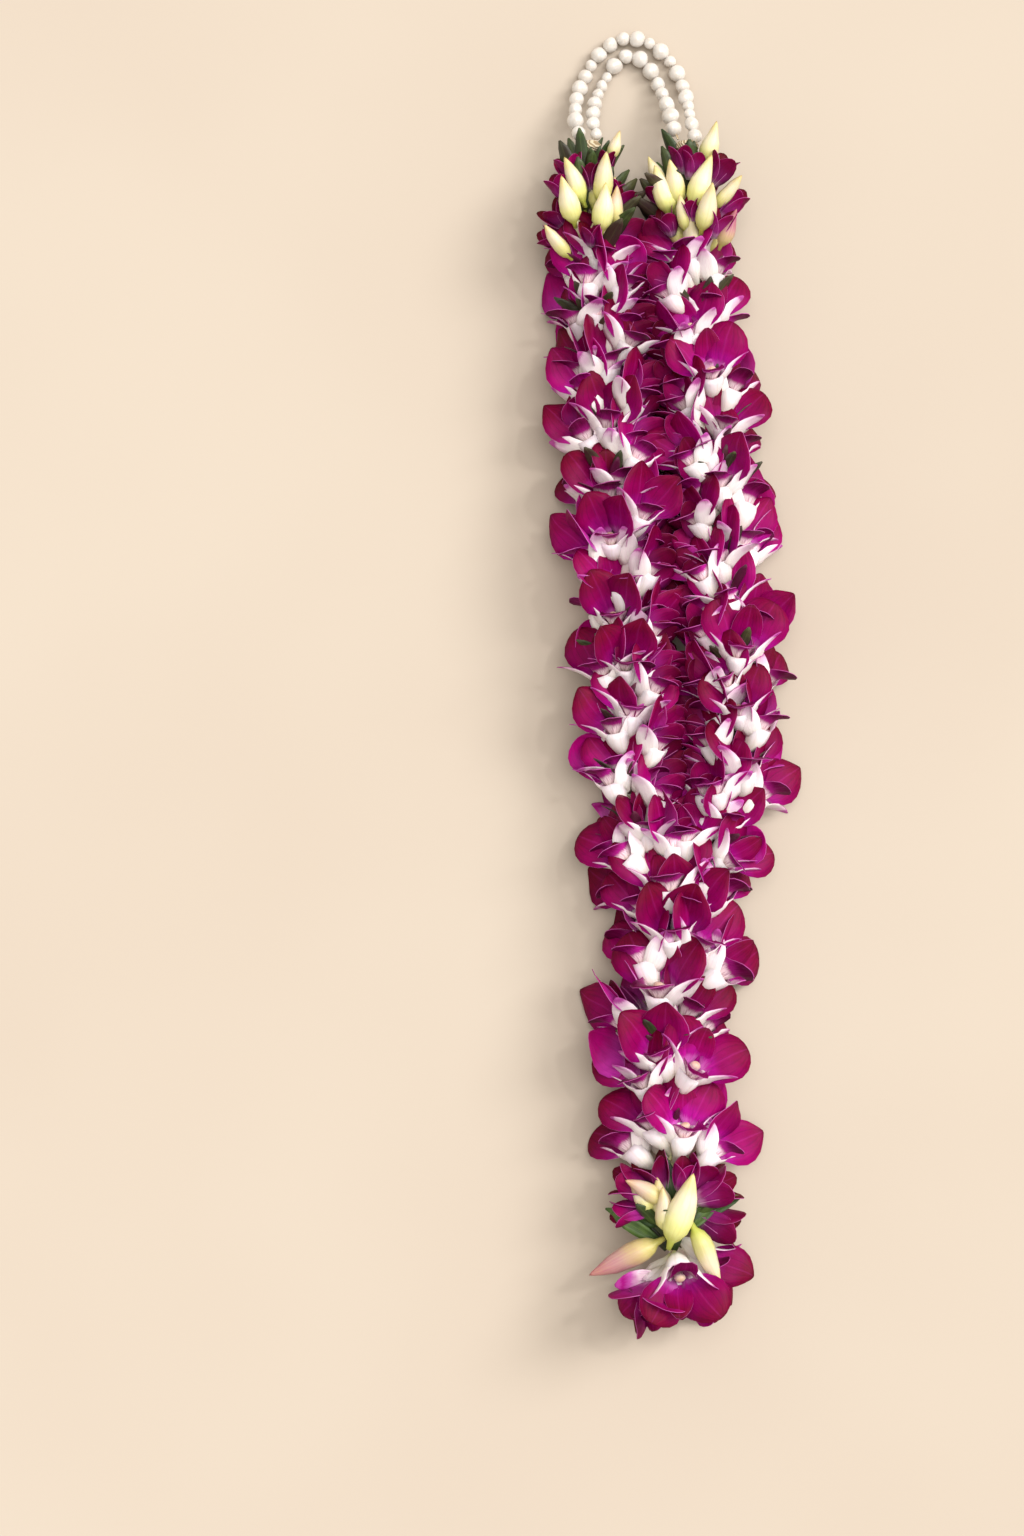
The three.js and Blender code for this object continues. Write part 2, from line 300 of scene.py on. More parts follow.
BELL = turned_finish("bell", [
    (0.0, paint(160, 172, 86)), (0.16, paint(214, 216, 146)), (0.34, paint(241, 238, 220)),
    (0.66, paint(243, 239, 239)), (0.78, paint(239, 224, 230)), (0.88, paint(150, 30, 108)),
    (1.0, paint(80, 0, 48))], blush=paint(222, 180, 214), roughness=0.45, Subsurface_Weight=0.3,
    Subsurface_Radius=PETAL_FLESH, Subsurface_Scale=0.005)
BUD = turned_finish("bud", [
    (0.0, paint(124, 148, 44)), (0.2, paint(190, 202, 88)), (0.42, paint(224, 226, 142)),
    (0.66, paint(240, 235, 196)), (0.86, paint(228, 220, 150)), (1.0, paint(178, 164, 88))],
    blush=paint(160, 54, 106), roughness=0.42, Subsurface_Weight=0.3, Subsurface_Radius=(1, 0.85, 0.5),
    Subsurface_Scale=0.005)
COLUMN = turned_finish("column", [
    (0.0, paint(234, 224, 226)), (0.6, paint(236, 222, 222)), (0.8, paint(228, 208, 176)),
    (1.0, paint(214, 184, 142))], blush=paint(180, 70, 150), roughness=0.45)


def leaf_finish():
    skin = Finish("leaf", 0.42, Specular_IOR_Level=0.45)
    across = skin.span()[0]
    edge = skin.sum("ABSOLUTE", skin.sum("SUBTRACT", across, 0.5))
    streak = skin.streaks(30.0, 1.2)
    body = skin.ramp(skin.mottle(70.0), [(0.3, paint(30, 54, 22)), (0.5, paint(46, 78, 32)),
                                         (0.75, paint(80, 112, 46))])
    body = skin.mix(1.0, body, skin.ramp(streak, [(0.35, (0.6, 0.66, 0.6, 1)), (0.6, WHITE)]), "MULTIPLY")
    body = skin.mix(0.8, body, skin.ramp(edge, [(0.0, (0.05, 0.07, 0.02, 1)), (0.06, BLACK)]), "ADD")
    body = skin.mix(skin.own("blush"), body, paint(84, 8, 52))
    light = skin.sum("MULTIPLY_ADD", skin.own("tone"), 0.3, 1.0)
    skin.colour(skin.add("HueSaturation", {"Color": body, "Value": light}).outputs["Color"])
    skin.bump(streak, 0.4, 0.0006)
    return skin.material


def pearl_finish():
    nacre = Finish("pearl", 0.3, Coat_Weight=1.0, Coat_Roughness=0.06, Specular_IOR_Level=0.6,
                   Subsurface_Weight=0.7, Subsurface_Radius=(1, 0.95, 0.9), Subsurface_Scale=0.004)
    swirl = nacre.mottle(260.0, 4.0)
    body = nacre.ramp(swirl, [(0.3, paint(204, 197, 188)), (0.5, paint(212, 206, 199)),
                              (0.72, paint(218, 213, 207))])
    nacre.colour(body)
    nacre.bump(nacre.mottle(420.0, 3.0), 0.15, 0.0006)
    return nacre.material


def cotton_finish():
    cotton = Finish("cotton", 0.85)
    lay = cotton.add("TexWave", {"Vector": cotton.place(), "Scale": 260.0, "Distortion": 1.5},
                     bands_direction="DIAGONAL")
    cotton.colour(cotton.ramp(lay.outputs["Fac"], [(0.1, paint(156, 132, 98)), (0.7, paint(204, 190, 162))]))
    cotton.bump(lay.outputs["Fac"], 0.8, 0.0006)
    return cotton.material


LEAF = leaf_finish()
PEARL = pearl_finish()
COTTON = cotton_finish()

# ---- How pieces are shaped ----


def pick(work, verts):
    """Selects just these points of the mesh that is being edited."""
    for v in work.verts:
        v.select = False
    for v in verts:
        v.select = True
    work.select_flush_mode()


def blade(name, rows, finishes, thickness=0.28):
    """A petal, sepal, lip or leaf. Its rows run from foot to tip as (along, lift, half width, cup), in mm.
    Its face is upwards, and a cup lifts the edges. finishes are for the face, the back and the edge."""
    bpy.ops.object.select_all(action="DESELECT")
    bpy.ops.mesh.primitive_grid_add(x_subdivisions=COLUMNS, y_subdivisions=len(rows) - 1, size=2)
    piece = bpy.context.object
    piece.name = name
    bpy.ops.object.mode_set(mode="EDIT")
    work = bmesh.from_edit_mesh(piece.data)
    row_step, column_step = 2 / (len(rows) - 1), 2 / COLUMNS
    for i, (along, lift, half, cup) in enumerate(rows):
        y = i * row_step - 1
        row = [v for v in work.verts if abs(v.co.y - y) < row_step / 4 and v.co.z == 0]
        columns = {v: abs(round(v.co.x / column_step)) for v in row}
        pick(work, row)
        bpy.ops.transform.resize(value=(half * MM, 1, 1), center_override=(0, y, 0))
        bpy.ops.transform.translate(value=(0, along * MM - y, (lift + 1e-4) * MM))
        for k in range(1, COLUMNS // 2 + 1):
            pick(work, [v for v in row if columns[v] == k])
            bpy.ops.transform.translate(value=(0, 0, cup * (2 * k / COLUMNS) ** 2 * MM))
    bpy.ops.object.mode_set(mode="OBJECT")
    for finish in finishes:
        piece.data.materials.append(finish)
    wall = piece.modifiers.new("wall", "SOLIDIFY")
    wall.thickness = thickness * MM
    wall.offset = -1
    wall.material_offset = 1
    wall.material_offset_rim = 2
    bpy.ops.object.modifier_apply(modifier="wall")
    bpy.ops.object.shade_smooth()
    return piece


def turned(name, rings, finish, segments=10):
    """A bell, bud, column or bead. Its rings run from foot to tip, each (along, half width, half depth, lift)
    in mm."""
    bpy.ops.object.select_all(action="DESELECT")
    bpy.ops.mesh.primitive_uv_sphere_add(segments=segments, ring_count=len(rings) - 1, radius=1,
                                         rotation=(-math.pi / 2, 0, 0))
    piece = bpy.context.object
    piece.name = name
    bpy.ops.object.transform_apply(rotation=True)
    bpy.ops.object.mode_set(mode="EDIT")
    work = bmesh.from_edit_mesh(piece.data)
    levels = [[v for v in work.verts if abs(v.co.y + math.cos(math.pi * i / (len(rings) - 1))) < 0.01]
              for i in range(len(rings))]
    for i, (along, half, depth, lift) in enumerate(rings):
        y = levels[i][0].co.y
        girth = math.sin(math.pi * i / (len(rings) - 1))
        pick(work, levels[i])
        if 0 < i < len(rings) - 1:
            bpy.ops.transform.resize(value=(half * MM / girth, 1, depth * MM / girth),
                                     center_override=(0, y, 0))
        bpy.ops.transform.translate(value=(0, along * MM - y, lift * MM))
    bpy.ops.object.mode_set(mode="OBJECT")
    piece.data.materials.append(finish)
    bpy.ops.object.shade_smooth()
    return piece


def copy_of(master, place):
    twin = master.copy()
    twin.data = master.data.copy()
    twin.data.transform(place)
    bpy.context.collection.objects.link(twin)
    return twin


def gather(name, parts):
    """Joins parts into one piece."""
    bpy.ops.object.select_all(action="DESELECT")
    for part in parts:
        part.select_set(True)
    bpy.context.view_layer.objects.active = parts[0]
    if len(parts) > 1:
        bpy.ops.object.join()
    parts[0].name = name
    parts[0].data.name = name
    return parts[0]


def give_own(piece, **values):
    """Sets the numbers that give each flower, bud or leaf its own tone."""
    for name, value in values.items():
        own = piece.data.attributes.new(name, "FLOAT", "POINT")
        own.data.foreach_set("value", [value] * len(piece.data.vertices))


def ruffle(piece, seed, depth, grain=70):
    """Bends every part of a piece a little, so that no two are alike."""
    drift = Vector((seed * 1.7, seed * 3.1, seed * 0.9))
    for v in piece.data.vertices:
        v.co += noise.noise_vector(v.co * grain + drift) * depth * MM


def settle(piece):
    """Eases what would go into the table so that it lies on it, and presses down what stands too high."""
    for v in piece.data.vertices:
        if v.co.z < EASE_BELOW:
            room = EASE_BELOW - LOWEST
            v.co.z = LOWEST + room * math.exp((v.co.z - EASE_BELOW) / room)
        elif v.co.z > EASE_ABOVE:
            room = HIGHEST - EASE_ABOVE
            v.co.z = HIGHEST - room * math.exp((EASE_ABOVE - v.co.z) / room)


def spin(axis, degrees):
    return Matrix.Rotation(math.radians(degrees), 4, axis)


def move(x, y, z):
    return Matrix.Translation(Vector((x, y, z)) * MM)


# ---- One flower: its parts, then the whole ----
chance = random.Random(7)
noise.seed_set(7)   # so that every petal is bent the same way each time

PETAL_FACES = [PETAL_FRONT, PETAL_BACK, PETAL_EDGE_HIGHLIGHT]
PETAL_SHAPES = [
    [(0, 0, 2.0, 0.4), (2.6, -0.3, 3.6, 0.8), (6, -0.6, 7.4, 1.6), (10.6, -0.8, 11.0, 2.2),
     (15, -0.8, 12.2, 1.6), (19.4, -1.0, 11.4, 0.4), (23.4, -1.6, 8.8, -0.8), (26.4, -2.6, 5.6, -1.2),
     (28.6, -3.6, 2.6, -0.6), (29.6, -4.2, 0.6, 0)],
    [(0, 0, 2.0, 0.3), (2.8, -0.2, 3.8, 1.0), (6.6, -0.2, 7.2, 2.0), (11.2, 0, 10.6, 2.8),
     (15.8, 0.4, 11.8, 2.6), (20, 0.9, 10.8, 1.8), (23.8, 1.2, 8.2, 0.8), (26.8, 1.2, 5.0, 0.2),
     (29.2, 0.8, 2.2, 0), (30.2, 0.6, 0.6, 0)],
    [(0, 0, 2.0, 0.6), (2.4, -0.4, 3.6, 0.8), (5.4, -1.2, 6.8, 0.8), (9, -2.4, 9.6, 0.2),
     (12.6, -4.0, 11.0, -0.6), (16, -6.0, 10.8, -1.4), (18.8, -8.0, 8.8, -1.8), (20.8, -9.8, 6.0, -1.4),
     (22, -11.2, 3.0, -0.6), (22.4, -11.8, 1.0, 0)],
]
petals = [blade(f"petal_shape_{i}", rows, PETAL_FACES) for i, rows in enumerate(PETAL_SHAPES)]
dorsal_sepal = blade("dorsal_sepal_shape", [
    (0, 0, 2.6, 0.6), (2.8, -0.2, 4.0, 1.0), (6.4, -0.5, 5.8, 1.4), (10.4, -0.8, 6.8, 1.5),
    (14.4, -1.0, 6.6, 1.2), (18, -1.4, 5.4, 0.8), (20.8, -2.0, 3.4, 0.4), (22.4, -2.6, 1.0, 0)], PETAL_FACES)
side_sepals = [blade(f"side_sepal_shape_{i}", [
    (0, 0, 4.2, 1.6), (3.2, -0.5, 5.2, 1.4), (6.6, -1.2, 5.8, 1.0), (10, -2.4 * bow, 5.8, 0.7),
    (13.2, -4.2 * bow, 5.0, 0.5), (16.2, -6.6 * bow, 3.7, 0.4), (18.6, -9.0 * bow, 2.2, 0.2),
    (20.2, -11.0 * bow, 0.6, 0)],
    [SEPAL_FRONT, SEPAL_BACK, PETAL_EDGE_HIGHLIGHT]) for i, bow in enumerate((0.9, 0.55, 0.25))]
lip = blade("lip_shape", [
    (0, 0, 2.0, 1.2), (2.6, -0.6, 3.8, 3.4), (5.2, -1.0, 5.8, 5.6), (7.8, -1.4, 6.6, 5.6),
    (10.2, -2.2, 5.2, 3.0), (12.6, -3.8, 5.6, 0.8), (14.8, -6.0, 5.0, -0.8), (16, -8.0, 2.6, -0.8),
    (16.3, -8.8, 0.8, 0)], [LIP, LIP, PETAL_EDGE_HIGHLIGHT])
bell = turned("bell_shape", [
    (-8, 0, 0, -1.2), (-7.6, 0.8, 0.8, -1.2), (-4, 1.0, 1.0, -0.8), (-0.6, 1.7, 1.8, 0.2),
    (2.6, 3.0, 3.4, 1.2), (6, 4.5, 5.0, 1.8), (9.6, 5.8, 6.0, 1.5), (13, 6.6, 6.4, 0.9),
    (15.8, 6.9, 6.2, 0.5), (15.2, 5.9, 5.2, 0.2), (11.6, 3.8, 3.4, 0), (9, 0, 0, 0)], BELL)
column = turned("column_shape", [
    (8, 0, 0, -0.6), (8.6, 1.8, 1.6, -0.6), (12, 2.1, 1.8, -0.8), (15.4, 2.4, 2.0, -0.4),
    (17.6, 2.6, 2.2, 0.2), (19, 1.8, 1.7, 0.7), (19.5, 0, 0, 0.9)], COLUMN, segments=8)


def organ(shape, angle, along, out, flare, lean=0.0, twist=0.0):
    """A copy of a part, turned round the flower's axis from its lip side, and flared away from the axis."""
    return copy_of(shape, spin("Y", angle + 180) @ move(0, along, -out) @ spin("X", -flare) @ spin("Z", lean)
                   @ spin("Y", twist))


def flower(name, openness):
    """A whole flower whose axis runs along +Y and whose lip side faces +Z."""
    parts = [copy_of(bell, Matrix()), copy_of(column, spin("X", chance.uniform(-4, 4)))]
    for side in (-1, 1):
        parts.append(organ(chance.choice(petals), side * chance.uniform(120, 142), 13, 4.4,
                           chance.uniform(3, 19) * openness, -side * chance.uniform(2, 16),
                           side * chance.uniform(8, 28)))
        parts.append(organ(chance.choice(side_sepals), side * chance.uniform(50, 66), 10.0, 5.4,
                           chance.uniform(10, 26) * openness, side * chance.uniform(24, 46),
                           -side * chance.uniform(0, 20)))
    parts.append(organ(dorsal_sepal, 180 + chance.uniform(-8, 8), 12, 4.4, chance.uniform(6, 22) * openness,
                       chance.uniform(-8, 8)))
    parts.append(organ(lip, chance.uniform(-6, 6), 12, 3.4, chance.uniform(-2, 12)))
    return gather(name, parts)


def half_open(name):
    """A flower that is only just opening: its petals still wrap one another."""
    return gather(name, [organ(dorsal_sepal, angle + chance.uniform(-14, 14), 2, 2.2, chance.uniform(3, 20),
                               chance.uniform(-6, 6)) for angle in (200, 100, 300, 20)])


flowers = [flower(f"flower_{i}", chance.uniform(0.84, 1.14)) for i in range(9)]
opening = [half_open(f"opening_{i}") for i in range(3)]

# ---- Buds and leaves ----
buds = [turned(f"bud_shape_{i}", [
    (-4, 0, 0, 0), (-3.6, 1.1, 1.1, 0), (0, 1.6, 1.6, 0), (2.6, 3.6, 3.8, 0.6),
    (6.4, 5.6 * fat, 6.0 * fat, 1.0), (11, 6.2 * fat, 6.4 * fat, 0.8), (16, 5.6 * fat, 5.6 * fat, 0.2),
    (21, 4.2, 4.0, beak * 0.4), (26, 2.4, 2.2, beak), (29.4, 1.0, 0.9, beak * 1.6), (31, 0, 0, beak * 2)],
    BUD) for i, (fat, beak) in enumerate(((1.0, 0.6), (1.12, -0.6), (0.86, 1.4)))]
leaves = [blade(f"leaf_shape_{i}", [
    (0, 0, 1.3, 0.4), (4, 0.2, 2.4, 0.8), (9, 0.2 - bow * 0.5, 3.4, 1.0), (14, -bow * 1.6, 3.7, 1.0),
    (19, -bow * 3.4, 3.2, 0.9), (23.4, -bow * 5.6, 2.2, 0.6), (27, -bow * 7.8, 0.4, 0.2)],
    [LEAF, LEAF, LEAF], thickness=0.4) for i, bow in enumerate((0.1, 0.6, 1.0))]


# ---- Setting flowers, buds and leaves round a cord ----


def around(walk, along, angle, foot, tilt, yaw=0.0, roll=0.0, size=1.0, flip=False):
    """A place on the whorl that is tied that far along the cord. angle is where on the whorl, 0 to the right
    and 90 on top; foot is how far from the cord; tilt is how far the piece leans out."""
    point, ahead = walk.at(along * MM)
    heading = math.degrees(math.atan2(ahead.x, -ahead.y)) + (180 if flip else 0)
    if flip:
        angle = 180 - angle
    turn = math.radians(angle)
    out = Vector((foot * math.cos(turn), 0, foot * math.sin(turn))) * MM
    return (Matrix.Translation(point) @ spin("Z", heading) @ Matrix.Translation(out) @ spin("Y", 90 - angle)
            @ spin("X", tilt) @ spin("Z", yaw) @ spin("Y", roll) @ Matrix.Scale(size, 4))


def laid(walk, along, across, rise, lean, tilt, roll, size):
    """A place on the upper side of a strand: so far along it, across from the cord and above it. lean turns
    the piece to the left, and tilt lifts its tip."""
    point, ahead = walk.at(along * MM)
    heading = math.degrees(math.atan2(ahead.x, -ahead.y))
    return (Matrix.Translation(point) @ spin("Z", heading) @ move(across, 0, rise) @ spin("Z", lean)
            @ spin("X", tilt) @ spin("Y", roll) @ Matrix.Scale(size, 4))


def finish_piece(name, parts, node):
    piece = gather(name, parts)
    settle(piece)
    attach(piece, "root")
    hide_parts(node)
    return piece


def bloom(shape, place, blush=0.35, bend=1.25, deepen=0.0):
    """One flower, bud or leaf, bent a little in its own way and put in its place. blush is the most that it
    is flushed, and deepen darkens it."""
    part = copy_of(shape, Matrix())
    ruffle(part, chance.uniform(0, 90), bend)
    part.data.transform(place)
    give_own(part, tone=chance.uniform(-1, 1) - deepen, blush=chance.uniform(0.4 * blush, blush))
    return part


def flower_tier(node, walk, along, angles, foot, tilt, size, flip=False, extra=()):
    """A whorl of flowers, with leaves under it. foot and tilt are each (at the sides, on top)."""
    parts = list(extra)
    for i, angle in enumerate(angles):
        angle = (angle + chance.uniform(-8, 8) + 90) % 360 - 90
        top = abs(math.sin(math.radians(angle)))
        facing = chance.choice((0, 0, 4, 16))
        rolled = 0.5 * (angle - 90) if -20 < angle < 200 else 0
        parts.append(bloom(chance.choice(flowers), around(
            walk, along + (-7, 6, 0)[i % 3] + chance.uniform(-4, 4), angle,
            foot[0] + (foot[1] - foot[0]) * top + chance.uniform(-0.8, 0.8),
            tilt[0] + (tilt[1] - tilt[0]) * top + facing + chance.uniform(-5, 5),
            chance.uniform(-14, 14), rolled * (-1 if flip else 1) + chance.uniform(-24, 24),
            size * chance.choice((0.9, 0.96, 1.0, 1.04, 1.0 + 0.16 * top)), flip)))
    for i in range(6):
        parts.append(bloom(chance.choice(leaves), around(
            walk, along - chance.uniform(0, 20), 15 + 60 * i, 4, chance.uniform(18, 36),
            roll=150 + 60 * chance.random(), size=chance.uniform(0.8, 1.1)), 1, 0.9))
    return finish_piece(node + "_blooms", parts, node)


def between_strands(walk, along, inward):
    """What fills the furrow beside the other strand: a whole flower, and opening ones darkened as painted
    shade.
    """
    angle = 90 + (inward - 90) * chance.uniform(0.6, 0.8)
    whole = bloom(chance.choice(flowers), around(
        walk, along + 12, angle, 9, 38, roll=0.5 * (angle - 90) + chance.uniform(-20, 20), size=1.12))
    return [whole] + [
        # deepen darkens these opening flowers as painted shade in the furrow between the strands
        bloom(chance.choice(opening), around(walk, along + further, inward, 8, tilt, size=1.3), deepen=0.9)
        for further, tilt in ((4, 46), (-8, 52), (-20, 40))]


def broadside(angle):
    """How far a leaf on the side of a strand is turned so that its face is upwards."""
    angle = (angle + 90) % 360 - 90
    return 180 + (0.6 * (angle - 90) if angle < 200 else 0)


def ring_of(node, slot, shapes, walk, along, places, blush, extra=()):
    """Buds or leaves at places, each (angle, foot, tilt, how far back along the cord, size), and whatever
    extra is given."""
    parts = [bloom(chance.choice(shapes), around(
        walk, along - back, angle + chance.uniform(-5, 5), foot, tilt, chance.uniform(-8, 8),
        chance.uniform(-30, 30) if slot == "bud" else broadside(angle), size), blush, 0.9)
        for angle, foot, tilt, back, size in places]
    return finish_piece(node + "_cluster", parts + list(extra), node)


def evenly(count, first, foot, tilt, size):
    """Places for ring_of, evenly round the cord."""
    return [(first + 360 * i / count, foot, tilt + chance.uniform(-6, 6), chance.uniform(-5, 5),
             size * chance.uniform(0.8, 1.12)) for i in range(count)]


def opening_ring(walk, along, angles, foot, tilt, size):
    """Opening flowers round the cord at a neck end, deep in tone."""
    return [bloom(chance.choice(opening), around(walk, along, angle, foot, tilt, size=size), deepen=1.5)
            for angle in angles]


def sprays(shapes, walk, places, blush=0.3, deepen=0.0):
    """Buds, leaves or opening flowers laid one by one, each (along, across, rise, lean, tilt, size)."""
    return [bloom(chance.choice(shapes), laid(
        walk, along, across, rise, lean, tilt, chance.uniform(-25, 25), size), blush, 0.9, deepen)
        for along, across, rise, lean, tilt, size in places]


left, right, tail = table_route(LEFT_ROUTE), table_route(RIGHT_ROUTE), table_route(TAIL_ROUTE)
# Where the flowers of a tier stand round the cord: one tier by the first list, the next by the second.
TURNS = ((58, 122, 198, 270, -18), (90, 22, 158, 235, 305))
# Each (along, across, rise, lean, tilt, size): buds of the lower ring, of the upper ring, and flushed ones.
FRONT_BUDS = {
    "left": ([(44, -10, 15, 15, 24, 0.95), (50, 6, 18, -7, 24, 0.95), (63, -14, 12, 38, 16, 0.8)],
             [(33, 6.5, 14, -6, 14, 1.0), (32, -4, 12, 22, 12, 0.95), (6, 12, 7, -20, 14, 0.6)],
             [(46, 14, 12, -4, 18, 0.78)]),
    "right": ([(50, 6, 19, -16, 30, 1.0), (48, -4, 16, 8, 24, 0.7), (38, -12, 11, 16, 12, 0.98)],
              [(36, 1, 16, -22, 14, 1.08), (33, -6, 13, 11, 14, 0.9), (35, 15, 10, -45, 14, 0.8),
               (9, 10, 8, -17, 10, 0.85), (22, -15, 3, 24, 8, 0.7)],
              [(60, 16, 14, -30, 20, 0.8)]),
}
# Opening flowers in the same way: the first four lie among the lower buds, the others among the upper.
OPENING_BUDS = {
    "left": [(46, -14, 4, 40, 20, 0.8), (32, -13, 6, 26, 14, 0.85), (56, -14, 2, 62, 14, 0.8),
             (22, -9, 6, 18, 10, 0.85), (26, 1, 8, 2, 12, 0.75), (38, 13, 4, -26, 16, 0.8),
             (60, 0, 16, 4, 30, 0.7), (18, 8, 6, -12, 12, 0.75)],
    "right": [(20, 1, 10, -6, 10, 0.8), (24, 11, 8, -32, 14, 1.0), (42, 15, 3, -48, 18, 1.0),
              (34, -13, 6, 30, 14, 0.8), (52, -11, 10, 22, 24, 0.8), (56, 12, 16, -20, 28, 0.85),
              (16, -3, 8, 6, 8, 0.8), (46, 0, 16, 0, 26, 0.7)],
}
# For each tier of the tail: how many flowers, and how far from the cord they start at the sides.
TAIL_TIERS = ((8, 17), (7, 13), (6, 11), (6, 11), (6, 11))
for side, walk, turn_first, inward in (("left", left, 0, 0), ("right", right, 1, 180)):
    for i in range(STRAND_TIERS):
        along = FIRST_TIER + i * TIER_SPACING
        flower_tier(f"{side}_flowers_{i + 1:02d}", walk, along, TURNS[(i + turn_first) % 2],
                    foot=(4.6, 1.6), tilt=(26, 25), size=1.16, extra=between_strands(walk, along, inward))
        if i % 3 == 1 and i < 9:
            ring_of(f"{side}_leaves_{(i + 2) // 3:02d}", "leaf", leaves, walk, along - 18,
                    evenly(6, 10, 5, 36, 1.0), 0.5)
    lower, upper, flushed = FRONT_BUDS[side]
    opened = OPENING_BUDS[side]
    ring_of(f"{side}_lower_buds", "bud", buds, walk, 60, evenly(6, 200, 7, 24, 0.9), 0.3,
            sprays(buds, walk, lower) + sprays(buds, walk, flushed, 1.0)
            + sprays(opening, walk, opened[:4], deepen=1.5)
            + opening_ring(walk, 52, (0, 180, 225, 315), 6, 30, 0.95))
    ring_of(f"{side}_upper_buds", "bud", buds, walk, 38, evenly(5, 210, 5, 18, 0.85), 0.3,
            sprays(buds, walk, upper) + sprays(opening, walk, opened[4:], deepen=1.5)
            + opening_ring(walk, 34, (-20, 15, 165, 200, 270), 5, 24, 0.85))
    ring_of(f"{side}_leaf_collar", "leaf", leaves, walk, 20, evenly(9, 15, 4.5, 10, 1.0), 0.25,
            [bloom(chance.choice(leaves), around(
                walk, 26 + 9 * (i % 3), 28 * i, 6, 16 + 5 * (i % 3), roll=broadside(28 * i),
                size=chance.uniform(0.95, 1.3)), 0.3, 0.9) for i in range(13)]
            + [bloom(chance.choice(leaves), around(
                walk, 38 + 6 * i, angle, 7, 38, roll=broadside(angle), size=1.35), 0.5, 0.9)
               for i, angle in enumerate(range(inward - 36, inward + 72, 18))])

for i, (count, side_foot) in enumerate(TAIL_TIERS):
    first = 90 if i % 2 else 90 + 180 / count
    flower_tier(f"tail_flowers_{i + 1:02d}", tail, 2 + i * TAIL_SPACING,
                [first + 360 * k / count for k in range(count)], foot=(side_foot, 3), tilt=(38, 30), size=1.3)
ring_of("tail_leaves", "leaf", leaves, tail, 83, evenly(7, 20, 7, 38, 1.1), 0.5)
ring_of("tail_buds", "bud", buds, tail, 174, evenly(5, 200, 7, 30, 1.1), 0.3,
        sprays(buds, tail, [(189, -2, 20, -20, 12, 1.45), (183, -4, 18, 4, 14, 0.9),
                            (172, -12, 10, 34, 16, 0.8), (182, 12, 22, -158, -4, 1.2)])
        + sprays(buds, tail, [(165, -5, 15, 60, 12, 0.9), (189, -10, 14, 117, -8, 1.45)], 0.9)
        + sprays(opening, tail, [(164, -8, 6, 62, 10, 1.25), (172, -10, 4, 92, 6, 1.1),
                                 (166, 10, 8, -66, 12, 1.3), (174, 12, 4, -110, 4, 1.3),
                                 (162, 4, 12, -12, 20, 0.95), (162, -4, 8, 30, 14, 1.1),
                                 (164, 8, 6, -30, 10, 1.2)], deepen=1.2))
ring_of("tail_leaf_collar", "leaf", leaves, tail, 192, evenly(9, 60, 4, 42, 1.2), 0.2,
        sprays(leaves, tail, [(186, 4, 10, -50, 6, 1.1), (190, -8, 8, 60, 4, 1.2), (176, 10, 8, -70, 2, 1.2),
                              (180, -8, 7, 80, 4, 1.2), (170, 2, 8, 12, 10, 1.2), (196, 0, 8, -10, 6, 1.2)],
               0.1))
flower_tier("tail_end_flowers", tail, 201, (15, 165, 210, 270, 330), foot=(5, 4), tilt=(32, 34), size=1.12,
            flip=True, extra=[
                bloom(flowers[0], around(tail, 200, 84, 7, 66, size=1.3, flip=True), 0.3),
                bloom(flowers[4], around(tail, 203, 112, 4, 42, yaw=-14, roll=168, size=1.25, flip=True),
                      0.3)])

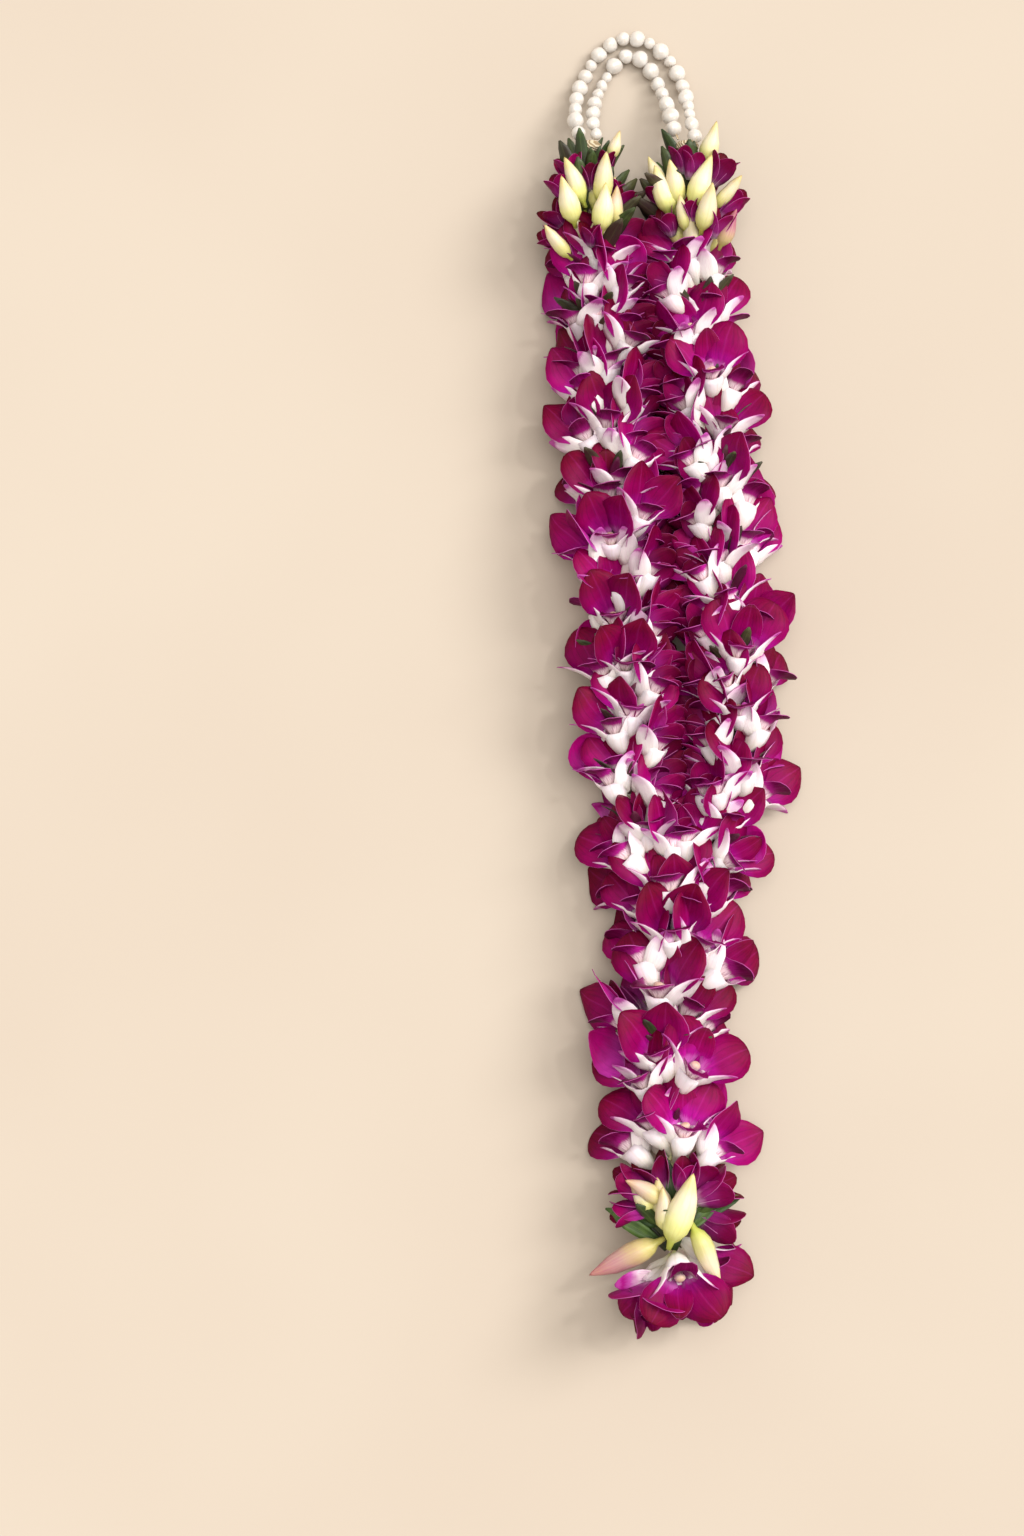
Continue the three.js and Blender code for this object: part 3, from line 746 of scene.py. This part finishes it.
# ---- The pearl strings: a thread each, with its beads ----
bead_rings = [(-BEAD_RADIUS * math.cos(math.pi * i / 10), BEAD_RADIUS * math.sin(math.pi * i / 10),
               BEAD_RADIUS * math.sin(math.pi * i / 10), 0) for i in range(11)]
bead = turned("bead_shape", bead_rings, PEARL, segments=16)
for name, loop in (("outer_pearl", OUTER_LOOP), ("inner_pearl", INNER_LOOP)):
    walk = loop_route(loop)
    line = bpy.data.curves.new(name + "_thread", "CURVE")
    line.dimensions = "3D"
    line.bevel_depth = 0.0006
    line.bevel_resolution = 2
    line.use_fill_caps = True
    spline = line.splines.new("POLY")
    stops = [walk.at(walk.length * i / THREAD_STEPS)[0] for i in range(THREAD_STEPS + 1)]
    spline.points.add(len(stops) - 1)
    for point, stop in zip(spline.points, stops):
        point.co = (*stop, 1)
    line.materials.append(COTTON)
    thread = bpy.data.objects.new(name + "_thread", line)
    bpy.context.collection.objects.link(thread)
    beads, reached = [], 0.0
    while reached < walk.length - 5 * MM:
        size = chance.choice((0.8, 0.96, 1.0, 1.04, 1.08, 1.16))
        point, ahead = walk.at(reached + BEAD_SPACING / 2 * size * MM)
        reached += BEAD_SPACING * size * MM
        one = copy_of(bead, Matrix.Diagonal((size * chance.uniform(0.96, 1.08), size,
                                             size * chance.uniform(0.94, 1.04), 1)))
        ruffle(one, chance.uniform(0, 90), 0.6, 150)
        one.data.transform(Matrix.Translation(point) @ ahead.to_track_quat("Y", "Z").to_matrix().to_4x4()
                           @ spin("Y", chance.uniform(0, 360)))
        beads.append(one)
    pearls = gather(name + "_beads", beads)
    for v in pearls.data.vertices:
        v.co.z = max(v.co.z, BEAD_CLEARANCE)
    for piece in (pearls, thread):
        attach(piece, "root")
        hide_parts(name + "_string")

# ---- The cords and knots keep their solids, in cotton ----
for node in ("left_cord", "right_cord", "tail_cord", "left_neck_knot", "right_neck_knot", "junction_knot",
             "tail_knot"):
    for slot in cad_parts[node].material_slots:
        slot.material = COTTON

for master in [*petals, dorsal_sepal, *side_sepals, lip, bell, column, *flowers, *opening, *buds, *leaves,
               bead]:
    bpy.data.objects.remove(master)

# ---- The table and the light ----
bpy.ops.object.select_all(action="DESELECT")
bpy.ops.mesh.primitive_plane_add(size=40)
table = bpy.context.object
table.name = "table"
top = Finish("table_top", 0.9)
top.colour(top.ramp(top.mottle(3.0), [(0.3, paint(189, 176, 161)), (0.7, paint(192, 180, 165))]))
table.data.materials.append(top.material)

sky = bpy.data.worlds.new("studio")
sky.use_nodes = True
sky.node_tree.nodes["Background"].inputs["Color"].default_value = (1, 0.94, 0.86, 1)
sky.node_tree.nodes["Background"].inputs["Strength"].default_value = 0.66
bpy.context.scene.world = sky


def daylight(name, towards, strength, softness):
    lamp = bpy.data.lights.new(name, "SUN")
    lamp.energy = strength
    lamp.angle = math.radians(softness)
    lamp.color = (1, 0.98, 0.96)
    stand = bpy.data.objects.new(name, lamp)
    stand.rotation_euler = Vector(towards).to_track_quat("-Z", "Y").to_euler()
    bpy.context.collection.objects.link(stand)


daylight("window", (-0.68, -0.36, -0.64), 2.3, 26)
daylight("lamp", (-0.42, -0.34, -0.84), 0.45, 5)
daylight("overhead", (-0.1, -0.14, -1), 1.6, 40)
bpy.context.scene.view_settings.view_transform = "Standard"
